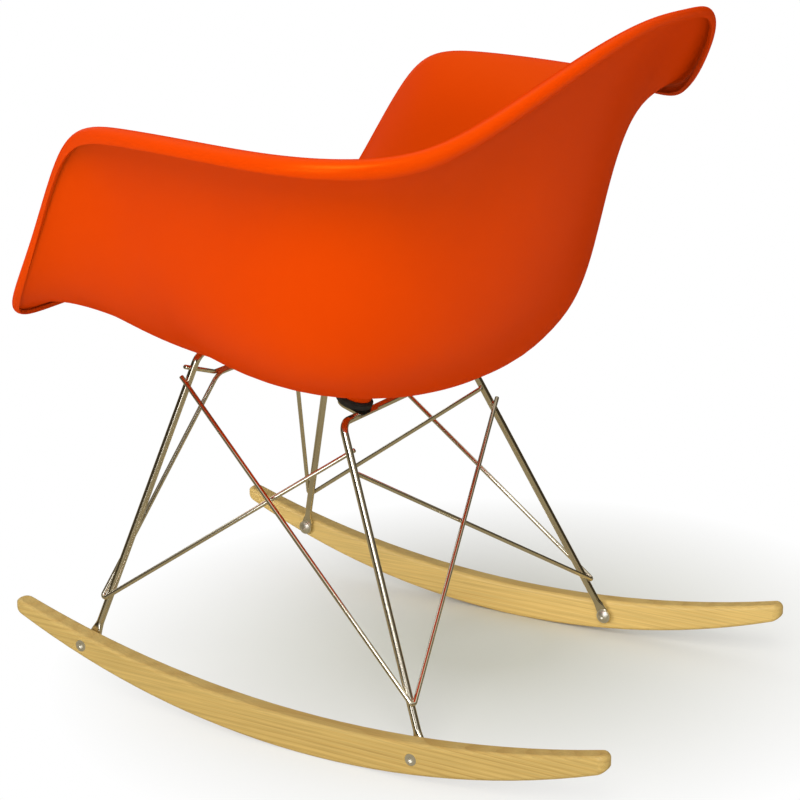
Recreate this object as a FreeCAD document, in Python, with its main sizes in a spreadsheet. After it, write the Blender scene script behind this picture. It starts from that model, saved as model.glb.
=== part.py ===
import FreeCAD, Part
import math
import os

import Sketcher
from FreeCAD import Vector

# Moulded plastic rocking armchair: a one-piece bucket shell on a welded wire base with two wooden rockers.
# Millimetres, +Z up, -Y is the front, +X is the sitter's left. The origin is on the floor, under the
# middle of the chair's outer box.

SIZES = {
    # rockers: flat boards whose lower and upper edges are arcs
    "rocker_outer_x": 218.5,
    "rocker_thick": 20,
    "rocker_radius": 850,
    "rocker_low_y": 27,
    "rocker_top_radius": 1170,
    "rocker_top_low_y": 34,
    "rocker_depth": 34.5,
    "rocker_front_y": -330,
    "rocker_rear_y": 322,
    "rocker_tip_share": 0.48,
    "rocker_edge_round": 4,
    # wire base
    "rod_d": 7.5,
    "wire_d": 4.5,
    "weld_sink": 0.25,
    "front_bolt_y": -246.5,
    "rear_bolt_y": 128.5,
    "front_bar_y": -160,
    "front_bar_z": 346,
    "front_bar_half": 127,
    "rear_bar_y": 1.5,
    "rear_bar_z": 299,
    "rear_bar_half": 126,
    "rod_bend": 14,
    "foot_thick": 4,
    "foot_width": 13,
    "foot_neck": 20,
    # struts: where each wire starts and ends along the legs, measured up from the foot bolt
    "strut_low": 40,
    "strut_turn": 3,
    "side_front_end": 279,
    "side_rear_end": 285,
    "rear_face_end": 264,
    "front_face_end": 292,
    "strut_tail": 7,
    "inner_tail": 2,
    "under_weld_lead": 0.35,
    "front_face_x": 72,
    "front_face_z": 309,
    "front_face_bend": 14,
    # foot hardware
    "bolt_d": 6,
    "bolt_clear": 0.2,
    "bolt_head_d": 12,
    "bolt_head_high": 3.2,
    "bolt_dome": 9.3,
    "bolt_long": 17,
    "bolt_socket": 4.6,
    "socket_deep": 1.8,
    "washer_d": 15,
    "washer_thick": 1.2,
    "nut_barrel_d": 9,
    "nut_head_d": 11.5,
    "nut_head_thick": 1.6,
    "nut_barrel_long": 13,
    "nut_bore_long": 11,
    "nut_socket": 6,
    # mounts under the shell
    "mount_half": 90,
    "mount_pitch": 19,
    "mount_reach": 12,
    "tab_width": 30,
    "tab_heel": 8,
    "tab_thick": 2.5,
    "mount_d": 36,
    "mount_high": 8,
    "mount_round": 2,
    "boss_d": 30,
    "boss_high": 30,
    "insert_d": 10,
    "insert_long": 6,
    "screw_d": 6,
    "screw_clear": 0.3,
    "screw_short": 0.5,
    "screw_head_d": 11,
    "screw_head_high": 3,
    "screw_dome": 8.5,
    "screw_socket": 4.6,
    # shell
    "wall": 4,
    "pan_low_y": 14,
    "pan_low_z": 324,
    "pan_half": 258,
    "pan_front": 206,
    "pan_rear": 175,
    "pan_front_rise": 40.5,
    "pan_side_rise": -5.5,
    "pan_rear_rise": 7.5,
    "belly_y": -33,
    "belly_half": 291,
    "belly_front": 177,
    "belly_rear": 179,
    "belly_front_z": 411,
    "belly_side_z": 357.5,
    "belly_rear_z": 388,
    "pan_square_front": 2.2,
    "pan_square_rear": 2.2,
    "belly_square_front": 2.6,
    "belly_square_rear": 2.0,
    "oval_ease": 1.5,
}

# The rim's crest, from the front edge's middle round the sitter's left side to the back's middle.
RIM = {
    "front_middle": (0, -270, 412),
    "front_quarter": (113, -275, 407),
    "front_side": (204, -280, 401),
    "front_corner": (262, -281, 397),
    "corner_rise": (287, -256, 427),
    "arm_front_low": (291, -221, 486),
    "arm_front_high": (301, -187, 552),
    "arm_corner": (310, -155, 597),
    "arm_front": (320, -97, 599),
    "arm_middle": (325, -17, 595),
    "arm_rear": (325, 55, 589),
    "arm_end": (304, 121, 585),
    "shoulder": (259, 176, 588),
    "back_side": (193, 222, 628),
    "back_corner": (123, 262, 669),
    "back_quarter": (61, 280, 687),
    "back_middle": (0, 286, 688),
}

# How the wall meets the rim in six places: its station, lean from upright in degrees, the length that
# keeps that lean, the radius of the rolled edge and the depth of its lip.
EDGE = {
    "front": (0, 84, 21, 7, 4),
    "front_corner": (3, 134, 48, 7, 4),
    "arm_front": (5.5, 31, 81, 7, 13),
    "arm": (9, 47, 123, 17, 5.5),
    "shoulder": (12.5, 81, 98, 14.5, 8.5),
    "back": (16, 76, 103, 7, 4),
}

# Shares of the way from the pan's low point to the wall's top at which the shell's net has a ring.
RING_SHARES = (0.12, 0.26, 0.40, 0.54, 0.67, 0.79, 0.90, 1.0)

os.makedirs("parts", exist_ok=True)
doc = FreeCAD.newDocument("rocking_chair")
sheet = doc.addObject("Spreadsheet::Sheet", "Sizes")


def write_cell(row, alias, value):
    sheet.set(f"A{row}", alias)
    sheet.set(f"B{row}", str(value))
    sheet.setAlias(f"B{row}", alias)


def write_sheet():
    row = 1
    for alias, value in SIZES.items():
        write_cell(row, alias, value)
        row += 1
    for name, point in RIM.items():
        for axis, value in zip("xyz", point):
            write_cell(row, f"rim_{name}_{axis}", value)
            row += 1
    for name, values in EDGE.items():
        for quantity, value in zip(("station", "lean", "flare", "roll", "lip"), values):
            write_cell(row, f"edge_{name}_{quantity}", value)
            row += 1
    doc.recompute()


def size(alias):
    return float(sheet.get(alias))


def parametric(kind, name, **bound):
    """A primitive whose properties are bound to expressions over the sheet."""
    made = doc.addObject(kind, name)
    for prop, expression in bound.items():
        made.setExpression(prop, expression)
    return made


def shaped(name, shape):
    """A sub-part whose shape this file works out from the sheet."""
    made = doc.addObject("Part::Feature", name)
    made.Shape = shape
    return made


def combined(kind, name, base, tool):
    made = doc.addObject(kind, name)
    made.Base = base
    made.Tool = tool
    return made


write_sheet()
sub_parts = []


def keep(made, label):
    made.Label = label
    sub_parts.append(made)
    return made


SIDES = (("left", 1), ("right", -1))
ENDS = ("front", "rear")


def mirrored(point, side):
    return Vector(point.x * side, point.y, point.z)


# Rockers


def lower_edge_z(y):
    """Height of a rocker's lower edge over the floor."""
    radius = size("rocker_radius")
    return radius - math.sqrt(radius**2 - (y - size("rocker_low_y")) ** 2)


def upper_edge_z(y):
    radius = size("rocker_top_radius")
    drop = math.sqrt(radius**2 - (y - size("rocker_top_low_y")) ** 2)
    return size("rocker_depth") + radius - drop


def bolt_point(end):
    """The middle of the rocker's depth at a foot bolt, on the chair's middle plane."""
    y = size(f"{end}_bolt_y")
    return Vector(0, y, (lower_edge_z(y) + upper_edge_z(y)) / 2)


def edge_arc(radius, low_y, low_z):
    centre = Vector(low_y, low_z + radius, 0)
    circle = Part.Circle(centre, Vector(0, 0, 1), radius)
    start = -math.pi / 2 + math.asin((size("rocker_front_y") - low_y) / radius)
    end = -math.pi / 2 + math.asin((size("rocker_rear_y") - low_y) / radius)
    return Part.ArcOfCircle(circle, start, end)


def rocker_board(name):
    body = doc.addObject("PartDesign::Body", f"{name}_board")
    sketch = body.newObject("Sketcher::SketchObject", f"{name}_outline")
    plane = next(item for item in body.Origin.OriginFeatures if item.Role == "YZ_Plane")
    sketch.AttachmentSupport = [(plane, "")]
    sketch.MapMode = "FlatFace"
    lower = edge_arc(size("rocker_radius"), size("rocker_low_y"), 0)
    upper = edge_arc(size("rocker_top_radius"), size("rocker_top_low_y"), size("rocker_depth"))
    sketch.addGeometry(lower, False)
    sketch.addGeometry(upper, False)
    sketch.addGeometry(Part.LineSegment(lower.StartPoint, upper.StartPoint), False)
    sketch.addGeometry(Part.LineSegment(lower.EndPoint, upper.EndPoint), False)
    for line, place in ((2, 1), (3, 2)):
        sketch.addConstraint(Sketcher.Constraint("Coincident", line, 1, 0, place))
        sketch.addConstraint(Sketcher.Constraint("Coincident", line, 2, 1, place))
    bind(sketch, Sketcher.Constraint("Radius", 0, size("rocker_radius")), "Sizes.rocker_radius")
    bind(sketch, Sketcher.Constraint("Radius", 1, size("rocker_top_radius")), "Sizes.rocker_top_radius")
    bind(sketch, across(0, 3, size("rocker_low_y")), "Sizes.rocker_low_y")
    bind(sketch, upright(0, 3, size("rocker_radius")), "Sizes.rocker_radius")
    bind(sketch, across(1, 3, size("rocker_top_low_y")), "Sizes.rocker_top_low_y")
    top_centre = "Sizes.rocker_depth + Sizes.rocker_top_radius"
    bind(sketch, upright(1, 3, size("rocker_depth") + size("rocker_top_radius")), top_centre)
    for curve in (0, 1):
        bind(sketch, across(curve, 1, size("rocker_front_y")), "Sizes.rocker_front_y")
        bind(sketch, across(curve, 2, size("rocker_rear_y")), "Sizes.rocker_rear_y")
    pad = body.newObject("PartDesign::Pad", f"{name}_pad")
    pad.Profile = sketch
    pad.setExpression("Length", "Sizes.rocker_thick")
    doc.recompute()
    tips = body.newObject("PartDesign::Fillet", f"{name}_tips")
    tips.Base = (pad, chosen_edges(pad.Shape, True))
    tips.setExpression("Radius", "Sizes.rocker_tip_share * Sizes.rocker_thick")
    doc.recompute()
    rims = body.newObject("PartDesign::Fillet", f"{name}_edges")
    rims.Base = (tips, chosen_edges(tips.Shape, False))
    rims.setExpression("Radius", "Sizes.rocker_edge_round")
    doc.recompute()
    return body


def across(geometry, point, value):
    return Sketcher.Constraint("DistanceX", -1, 1, geometry, point, value)


def upright(geometry, point, value):
    return Sketcher.Constraint("DistanceY", -1, 1, geometry, point, value)


def bind(sketch, constraint, expression):
    index = sketch.addConstraint(constraint)
    sketch.setExpression(f"Constraints[{index}]", expression)


def is_upright(edge):
    box = edge.BoundBox
    return max(box.XLength, box.YLength) < size("rocker_thick") / 1000


def chosen_edges(shape, upright_ones):
    """The names of the board's upright edges, at its ends, or of all the others."""
    return [
        f"Edge{number}"
        for number, edge in enumerate(shape.Edges, start=1)
        if is_upright(edge) == upright_ones
    ]


def rocker(side_name, side):
    """A board with a stepped hole for each sleeve nut, its wide end in the outer face."""
    name = f"rocker_{side_name}"
    board = rocker_board(name)
    inner_x = "Sizes.rocker_outer_x - Sizes.rocker_thick"
    board.setExpression("Placement.Base.x", inner_x if side > 0 else "-Sizes.rocker_outer_x")
    holes = []
    for end in ENDS:
        at = bolt_point(end)
        through = parametric(
            "Part::Cylinder",
            f"{name}_{end}_hole",
            Radius="Sizes.nut_barrel_d / 2 + Sizes.bolt_clear / 2",
            Height="Sizes.rocker_thick + 2",
        )
        seat = parametric(
            "Part::Cylinder",
            f"{name}_{end}_seat",
            Radius="Sizes.nut_head_d / 2 + Sizes.bolt_clear / 2",
            Height="Sizes.nut_head_thick + 1",
        )
        turn = FreeCAD.Rotation(Vector(0, 1, 0), 90)
        start = inner_x + " - 1" if side > 0 else "-Sizes.rocker_outer_x - 1"
        rim_start = "Sizes.rocker_outer_x - Sizes.nut_head_thick" if side > 0 else start
        for hole, begin in ((through, start), (seat, rim_start)):
            hole.Placement = FreeCAD.Placement(at, turn)
            hole.setExpression("Placement.Base.x", begin)
            holes.append(hole)
    drills = doc.addObject("Part::MultiFuse", f"{name}_holes")
    drills.Shapes = holes
    keep(combined("Part::Cut", name, board, drills), name)


# Bent wires


def bent_path(points, radii):
    """Straight runs through the points, joined at each corner by a tangent arc of its own radius."""
    edges = []
    start = points[0]
    for before, corner, after, radius in zip(points, points[1:], points[2:], radii):
        inward = (before - corner).normalize()
        onward = (after - corner).normalize()
        half = inward.getAngle(onward) / 2
        bisector = (inward + onward).normalize()
        trim = radius / math.tan(half)
        arc_start = corner + inward * trim
        arc_end = corner + onward * trim
        middle = corner + bisector * (radius / math.sin(half) - radius)
        edges.append(Part.LineSegment(start, arc_start).toShape())
        edges.append(Part.Arc(arc_start, middle, arc_end).toShape())
        start = arc_end
    edges.append(Part.LineSegment(start, points[-1]).toShape())
    return Part.Wire(edges)


def round_rod(points, diameter, radii):
    """A round bar along a bent path."""
    path = bent_path(points, radii)
    section = Part.Circle(points[0], points[1] - points[0], diameter / 2).toShape()
    return path.makePipeShell([Part.Wire([section])], True, False)


def leg_line(end, side):
    """Foot centre and top corner of one leg, on the rod's axis."""
    inner_x = size("rocker_outer_x") - size("rocker_thick")
    foot = bolt_point(end)
    foot.x = side * (inner_x - size("foot_thick") / 2)
    top = Vector(side * size(f"{end}_bar_half"), size(f"{end}_bar_y"), size(f"{end}_bar_z"))
    return foot, top


def leg_point(end, side, up):
    """A point on a leg's axis, that far up from its foot bolt."""
    foot, top = leg_line(end, side)
    return foot + (top - foot).normalize() * up


def flattened_foot(end, side):
    """The leg's pressed end: a flat eye against the rocker, the neck that grows into the rod, the hole."""
    foot, top = leg_line(end, side)
    outward = Vector(side, 0, 0)
    half_thick = size("foot_thick") / 2
    half_width = size("foot_width") / 2
    eye = Part.makeCylinder(half_width, 2 * half_thick, foot - outward * half_thick, outward)
    along = (top - foot).normalize()
    across_eye = Vector(0, along.y, along.z).normalize().cross(outward)
    pressed = Part.Ellipse(foot + across_eye * half_width, foot + outward * half_thick, foot)
    rod_end = Part.Circle(leg_point(end, side, size("foot_neck")), along, size("rod_d") / 2)
    neck = Part.makeLoft([Part.Wire([pressed.toShape()]), Part.Wire([rod_end.toShape()])], True)
    hole_radius = size("bolt_d") / 2 + size("bolt_clear")
    hole_start = foot - outward * (2 * size("foot_thick"))
    hole = Part.makeCylinder(hole_radius, 4 * size("foot_thick"), hole_start, outward)
    return eye, neck, hole


def hoop(end):
    """A thick wire bent into an upturned U, with splayed legs and a flattened eye on each foot."""
    neck_up = size("foot_neck")
    points = [leg_point(end, 1, neck_up), leg_line(end, 1)[1]]
    points += [leg_line(end, -1)[1], leg_point(end, -1, neck_up)]
    bends = [size("rod_bend")] * 2
    pieces = []
    holes = []
    for _, side in SIDES:
        eye, neck, hole = flattened_foot(end, side)
        pieces += [eye, neck]
        holes.append(hole)
    shape = round_rod(points, size("rod_d"), bends).fuse(pieces).cut(holes).removeSplitter()
    keep(shaped(f"{end}_hoop_wire", shape.Solids[0]), f"{end}_hoop")


# Struts


def beside(end, side, up, way):
    """A wire's centre where it lies against a leg, on the side that way points to."""
    foot, top = leg_line(end, side)
    along = (top - foot).normalize()
    square = way - along * way.dot(along)
    reach = (size("rod_d") + size("wire_d")) / 2 - size("weld_sink")
    return foot + along * up + square.normalize() * reach


def beyond(start, end, tail="strut_tail"):
    """The end of a line, pushed on by the tail a wire has past its weld."""
    return end + (end - start).normalize() * size(tail)


def strut_turn_point(end, side):
    """Where a strut turns round the outside of its own leg, near the foot."""
    low = size("strut_low")
    ahead = Vector(0, -1 if end == "front" else 1, 0)
    lifted = beside(end, side, low, Vector(side, 0, 0)) + beside(end, side, low, ahead)
    return lifted - leg_point(end, side, low)


def front_face_corner(side, layer):
    """Where a front strut bends under the seat, in the plane before the front hoop's legs."""
    foot, top = leg_line("front", side)
    share = (size("front_face_z") - foot.z) / (top.z - foot.z)
    rise = Vector(0, top.y - foot.y, top.z - foot.z)
    normal = Vector(0, -rise.z, rise.y).normalize()
    reach = (size("rod_d") + size("wire_d")) / 2 - size("weld_sink")
    reach += layer * (size("wire_d") - size("weld_sink"))
    level = Vector(side * size("front_face_x"), foot.y + rise.y * share, size("front_face_z"))
    return level + normal * reach


def front_strut(side_name, side):
    """From the rear leg's top down round the front foot, up the front, across and to the far leg's top."""
    layer = 0 if side > 0 else 1
    turn = strut_turn_point("front", side)
    high = beside("rear", side, size("side_rear_end"), Vector(-side, 0, 0))
    near = front_face_corner(side, layer)
    far = front_face_corner(-side, layer)
    last = beside("front", -side, size("front_face_end"), Vector(0, -1, 0))
    points = [beyond(turn, high, "inner_tail"), turn, near, far, beyond(far, last)]
    radii = [size("strut_turn"), size("front_face_bend"), size("front_face_bend")]
    name = f"strut_front_{side_name}"
    keep(shaped(f"{name}_wire", round_rod(points, size("wire_d"), radii)), name)


def rear_strut(side_name, side):
    """From the front leg's top down round the rear foot and up across the back to the far leg."""
    turn = strut_turn_point("rear", side)
    high = beside("front", side, size("side_front_end"), Vector(side, 0, 0))
    behind = Vector(0, 1, 0) if side > 0 else Vector(side, -size("under_weld_lead"), 0)
    last = beside("rear", -side, size("rear_face_end"), behind)
    points = [beyond(turn, high), turn, beyond(turn, last)]
    name = f"strut_rear_{side_name}"
    keep(shaped(f"{name}_wire", round_rod(points, size("wire_d"), [size("strut_turn")])), name)


# Bolts, washers and nuts


def moved(made, **bound):
    """Bind coordinates of a primitive's place to expressions over the sheet."""
    for axis, expression in bound.items():
        made.setExpression(f"Placement.Base.{axis}", expression)
    return made


def domed_bolt(name, kind, shank_expression):
    """A bolt along +Z: its round head below the origin, with a six-sided socket, and a plain shank."""
    head = parametric(
        "Part::Cylinder",
        f"{name}_head",
        Radius=f"Sizes.{kind}_head_d / 2",
        Height=f"Sizes.{kind}_head_high",
    )
    moved(head, z=f"-Sizes.{kind}_head_high")
    dome = parametric("Part::Sphere", f"{name}_dome", Radius=f"Sizes.{kind}_dome")
    moved(dome, z=f"Sizes.{kind}_dome - Sizes.{kind}_head_high")
    rounded = combined("Part::Common", f"{name}_rounded", head, dome)
    shank = parametric(
        "Part::Cylinder",
        f"{name}_shank",
        Radius=f"Sizes.{kind}_d / 2",
        Height=shank_expression,
    )
    solid = combined("Part::Fuse", f"{name}_solid", rounded, shank)
    socket = parametric(
        "Part::Prism",
        f"{name}_socket",
        Circumradius=f"Sizes.{kind}_socket / 2",
        Height="Sizes.socket_deep",
    )
    socket.Polygon = 6
    moved(socket, z=f"-Sizes.{kind}_head_high")
    return combined("Part::Cut", f"{name}_body", solid, socket)


def ring(name, outer, bore, high):
    """A round plate or sleeve along +Z with a hole through it."""
    disc = parametric("Part::Cylinder", f"{name}_disc", Radius=outer, Height=high)
    hole = parametric("Part::Cylinder", f"{name}_hole", Radius=bore, Height=f"{high} + 2")
    moved(hole, z="-1")
    return combined("Part::Cut", f"{name}_body", disc, hole)


def sleeve_nut(name):
    """A sleeve along +Z, open below, with a wide flat head on top that has a six-sided socket."""
    barrel = parametric(
        "Part::Cylinder",
        f"{name}_barrel",
        Radius="Sizes.nut_barrel_d / 2",
        Height="Sizes.nut_barrel_long",
    )
    head = parametric(
        "Part::Cylinder",
        f"{name}_head",
        Radius="Sizes.nut_head_d / 2",
        Height="Sizes.nut_head_thick",
    )
    moved(head, z="Sizes.nut_barrel_long")
    bore = parametric(
        "Part::Cylinder",
        f"{name}_bore",
        Radius="Sizes.bolt_d / 2 + Sizes.bolt_clear / 2",
        Height="Sizes.nut_bore_long + 1",
    )
    moved(bore, z="-1")
    socket = parametric(
        "Part::Prism",
        f"{name}_socket",
        Circumradius="Sizes.nut_socket / 2",
        Height="Sizes.socket_deep + 1",
    )
    socket.Polygon = 6
    moved(socket, z="Sizes.nut_barrel_long + Sizes.nut_head_thick - Sizes.socket_deep")
    solid = combined("Part::Fuse", f"{name}_solid", barrel, head)
    drilled = combined("Part::Cut", f"{name}_drilled", solid, bore)
    return combined("Part::Cut", f"{name}_body", drilled, socket)


def foot_hardware(end, side_name, side):
    """The bolt, its washer and the sleeve nut that hold one foot to its rocker."""
    place = f"{end}_{side_name}"
    along = FreeCAD.Rotation(Vector(0, 0, 1), Vector(side, 0, 0))
    centre = bolt_point(end)
    inner_face = "(Sizes.rocker_outer_x - Sizes.rocker_thick - Sizes.foot_thick"
    washer = ring(
        f"foot_washer_{place}",
        "Sizes.washer_d / 2",
        "Sizes.bolt_d / 2 + Sizes.bolt_clear",
        "Sizes.washer_thick",
    )
    bolt = domed_bolt(f"foot_bolt_{place}", "bolt", "Sizes.bolt_long")
    nut = sleeve_nut(f"sleeve_nut_{place}")
    starts = (
        (washer, f"foot_washer_{place}", f"{inner_face} - Sizes.washer_thick)"),
        (bolt, f"foot_bolt_{place}", f"{inner_face} - Sizes.washer_thick)"),
        (nut, f"sleeve_nut_{place}", "(Sizes.rocker_outer_x - Sizes.nut_head_thick - Sizes.nut_barrel_long)"),
    )
    for made, label, start in starts:
        made.Placement = FreeCAD.Placement(centre, along)
        moved(made, x=f"{side} * {start}")
        keep(made, label)


# Mounts: tab, rubber, screw and insert, stacked square to the seat's tilt


def mount_place(end, side, reach, height):
    """A place in one mount's own frame, whose origin is on the hoop's bar."""
    tilt = FreeCAD.Rotation(Vector(1, 0, 0), -size("mount_pitch"))
    bar = Vector(side * size("mount_half"), size(f"{end}_bar_y"), size(f"{end}_bar_z"))
    return FreeCAD.Placement(bar + tilt.multVec(Vector(0, reach, height)), tilt)


def reach_of(end):
    return size("mount_reach") if end == "front" else -size("mount_reach")


def tab_base():
    return size("rod_d") / 2 - size("weld_sink")


def mount_top():
    return tab_base() + size("tab_thick") + size("mount_high")


def mount_tab(end, side_name, side):
    """A flat plate on the hoop's bar, round at its free end, with a hole for the screw."""
    name = f"mount_tab_{end}_{side_name}"
    plate = parametric(
        "Part::Box",
        f"{name}_plate",
        Length="Sizes.tab_width",
        Width="Sizes.tab_heel + Sizes.mount_reach",
        Height="Sizes.tab_thick",
    )
    front = end == "front"
    moved(plate, x="-Sizes.tab_width / 2", y="-Sizes.mount_reach - Sizes.tab_heel" if front else "0")
    tip = parametric("Part::Cylinder", f"{name}_tip", Radius="Sizes.tab_width / 2", Height="Sizes.tab_thick")
    whole = combined("Part::Fuse", f"{name}_whole", plate, tip)
    hole = parametric(
        "Part::Cylinder",
        f"{name}_hole",
        Radius="Sizes.screw_d / 2 + Sizes.screw_clear",
        Height="Sizes.tab_thick + 2",
    )
    moved(hole, z="-1")
    tab = combined("Part::Cut", f"{name}_body", whole, hole)
    tab.Placement = mount_place(end, side, reach_of(end), tab_base())
    keep(tab, name)


def shock_mount(end, side_name, side):
    """A rubber disc with bevelled edges between tab and boss."""
    name = f"shock_mount_{end}_{side_name}"
    low = parametric(
        "Part::Cone",
        f"{name}_low",
        Radius1="Sizes.mount_d / 2 - Sizes.mount_round",
        Radius2="Sizes.mount_d / 2",
        Height="Sizes.mount_round",
    )
    middle = parametric(
        "Part::Cylinder",
        f"{name}_middle",
        Radius="Sizes.mount_d / 2",
        Height="Sizes.mount_high - 2 * Sizes.mount_round",
    )
    moved(middle, z="Sizes.mount_round")
    high = parametric(
        "Part::Cone",
        f"{name}_high",
        Radius1="Sizes.mount_d / 2",
        Radius2="Sizes.mount_d / 2 - Sizes.mount_round",
        Height="Sizes.mount_round",
    )
    moved(high, z="Sizes.mount_high - Sizes.mount_round")
    whole = doc.addObject("Part::MultiFuse", f"{name}_whole")
    whole.Shapes = [low, middle, high]
    hole = parametric(
        "Part::Cylinder",
        f"{name}_hole",
        Radius="Sizes.screw_d / 2 + Sizes.screw_clear",
        Height="Sizes.mount_high + 2",
    )
    moved(hole, z="-1")
    rubber = combined("Part::Cut", f"{name}_body", whole, hole)
    rubber.Placement = mount_place(end, side, reach_of(end), tab_base() + size("tab_thick"))
    keep(rubber, name)


def mount_screw(end, side_name, side):
    """The screw from below: through tab and rubber and into the insert, short of its end."""
    name = f"shell_screw_{end}_{side_name}"
    shank = "Sizes.tab_thick + Sizes.mount_high + Sizes.insert_long - Sizes.screw_short"
    screw = domed_bolt(name, "screw", shank)
    screw.Placement = mount_place(end, side, reach_of(end), tab_base())
    keep(screw, name)


def insert(end, side_name, side):
    name = f"insert_{end}_{side_name}"
    sleeve = ring(name, "Sizes.insert_d / 2", "Sizes.screw_d / 2 + Sizes.bolt_clear / 2", "Sizes.insert_long")
    sleeve.Placement = mount_place(end, side, reach_of(end), mount_top())
    keep(sleeve, name)


# Shell: a net of points whose smooth surface is the seat's upper face


def blended(station, quantity):
    """An edge quantity at a rim station, eased between the named places."""
    places = [size(f"edge_{name}_station") for name in EDGE]
    values = [size(f"edge_{name}_{quantity}") for name in EDGE]
    for start, end, first, last in zip(places, places[1:], values, values[1:]):
        if station <= end:
            share = (station - start) / (end - start)
            eased = share * share * (3 - 2 * share)
            return first + (last - first) * eased
    return values[-1]


def rim_point(station):
    """The rim's crest at a station. Stations past the back's middle are the right side's."""
    names = list(RIM)
    last = len(names) - 1
    wrapped = station % (2 * last)
    name = names[min(wrapped, 2 * last - wrapped)]
    point = Vector(*[size(f"rim_{name}_{axis}") for axis in "xyz"])
    return point if wrapped <= last else mirrored(point, -1)


def oval_point(kind, rim):
    """The point of the pan's or the belly's rounded oval in the rim point's direction."""
    base_z = size("pan_low_z") if kind == "pan" else 0
    heights = [f"{kind}_{place}_{'rise' if kind == 'pan' else 'z'}" for place in ("front", "side", "rear")]
    front_z, side_z, rear_z = [base_z + size(alias) for alias in heights]
    centre_y = size("pan_low_y") if kind == "pan" else size("belly_y")
    angle = math.atan2(rim.y - centre_y, rim.x)
    forward = math.sin(angle) < 0
    deep = size(f"{kind}_front") if forward else size(f"{kind}_rear")
    power = size(f"{kind}_square_front") if forward else size(f"{kind}_square_rear")
    wide_part = (abs(math.cos(angle)) / size(f"{kind}_half")) ** power
    deep_part = (abs(math.sin(angle)) / deep) ** power
    radius = (wide_part + deep_part) ** (-1 / power)
    end_z = front_z if forward else rear_z
    height = side_z + (end_z - side_z) * abs(math.sin(angle)) ** size("oval_ease")
    return Vector(radius * math.cos(angle), centre_y + radius * math.sin(angle), height)


def wall_points(station):
    """One station of the net: from the pan's low point up the wall and over the rolled edge."""
    rim = rim_point(station)
    run = rim_point(station + 1) - rim_point(station - 1)
    outward = Vector(run.y, -run.x, 0).normalize()
    lean = math.radians(blended(station, "lean"))
    up_wall = outward * math.sin(lean) + Vector(0, 0, math.cos(lean))
    off_wall = outward * math.cos(lean) - Vector(0, 0, math.sin(lean))
    roll = blended(station, "roll")
    lip = blended(station, "lip")
    top = rim - up_wall * roll
    low = Vector(0, size("pan_low_y"), size("pan_low_z"))
    guides = [low, oval_point("pan", rim), oval_point("belly", rim)]
    guides += [top - up_wall * blended(station, "flare"), top]
    points = [low]
    for share in RING_SHARES:
        weights = [math.comb(4, i) * share**i * (1 - share) ** (4 - i) for i in range(5)]
        point = Vector(0, 0, 0)
        for weight, guide in zip(weights, guides):
            point += guide * weight
        points.append(point)
    points[1].z = low.z - pan_tilt() * (points[1].y - low.y)
    rolled = rim + off_wall * roll
    return points + [rim, rolled, rolled + off_wall * (lip / 2) - up_wall * lip]


def pan_tilt():
    """The pan's fall per millimetre towards the rear, at its low point."""
    fall = size("pan_front_rise") - size("pan_rear_rise")
    return fall / (size("pan_front") + size("pan_rear"))


def shell_net():
    """All stations round the shell, ring by ring from the pan's low point to the lip."""
    half = [wall_points(station) for station in range(len(RIM))]
    other = [[mirrored(point, -1) for point in column] for column in half[-2:0:-1]]
    return [list(points) for points in zip(*(half + other))]


def offset_net(net, distance):
    """The net moved outwards and downwards, square to itself."""
    rings = len(net)
    stations = len(net[0])
    moved_net = [[net[0][0] - Vector(0, pan_tilt(), 1).normalize() * distance] * stations]
    for row in range(1, rings):
        above = net[min(row + 1, rings - 1)]
        below = net[row - 1]
        around = net[row]
        points = []
        for column in range(stations):
            along = around[(column + 1) % stations] - around[column - 1]
            across_ring = above[column] - below[column]
            outward = along.cross(across_ring).normalize()
            points.append(around[column] + outward * distance)
        moved_net.append(points)
    return moved_net


def smooth_face(net):
    """The cubic surface of a net: closed round the shell, clamped at its first and last ring."""
    spans = len(net) - 3
    across_counts = [4] + [1] * (spans - 1) + [4]
    around_knots = list(range(len(net[0]) + 1))
    surface = Part.BSplineSurface()
    surface.buildFromPolesMultsKnots(
        net,
        across_counts,
        [1] * len(around_knots),
        list(range(spans + 1)),
        around_knots,
        False,
        True,
        3,
        3,
    )
    return surface.toShape()


def lip_face(inner_ring, outer_ring):
    """The narrow band that closes the wall at its edge."""
    around_knots = list(range(len(inner_ring) + 1))
    surface = Part.BSplineSurface()
    surface.buildFromPolesMultsKnots(
        [inner_ring, outer_ring],
        [2, 2],
        [1] * len(around_knots),
        [0, 1],
        around_knots,
        False,
        True,
        1,
        3,
    )
    return surface.toShape()


def boss(end, side, middle_face):
    """A round boss from the rubber mount's face up to the middle of the wall."""
    place = mount_place(end, side, reach_of(end), mount_top())
    post = Part.makeCylinder(size("boss_d") / 2, size("boss_high"))
    post.Placement = place
    parts, _ = post.generalFuse([middle_face])
    return min(parts.Solids, key=lambda solid: solid.CenterOfMass.z)


def insert_hole(end, side):
    hole = Part.makeCylinder(size("insert_d") / 2, size("insert_long"))
    hole.Placement = mount_place(end, side, reach_of(end), mount_top())
    return hole


def seat_shell():
    net = shell_net()
    wall = size("wall")
    outer = offset_net(net, wall)
    faces = [smooth_face(net), lip_face(net[-1], outer[-1]), smooth_face(outer)]
    sewn = Part.makeCompound(faces)
    sewn.sewShape()
    bucket = Part.Solid(sewn.Shells[0])
    if bucket.Volume < 0:
        bucket.reverse()
    middle_face = smooth_face(offset_net(net, wall / 2))
    places = [(end, side) for end in ENDS for _, side in SIDES]
    bosses = [boss(end, side, middle_face) for end, side in places]
    holes = [insert_hole(end, side) for end, side in places]
    shape = bucket.fuse(bosses).cut(holes)
    keep(shaped("seat_shell_moulding", shape), "seat_shell")


# The chair

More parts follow.
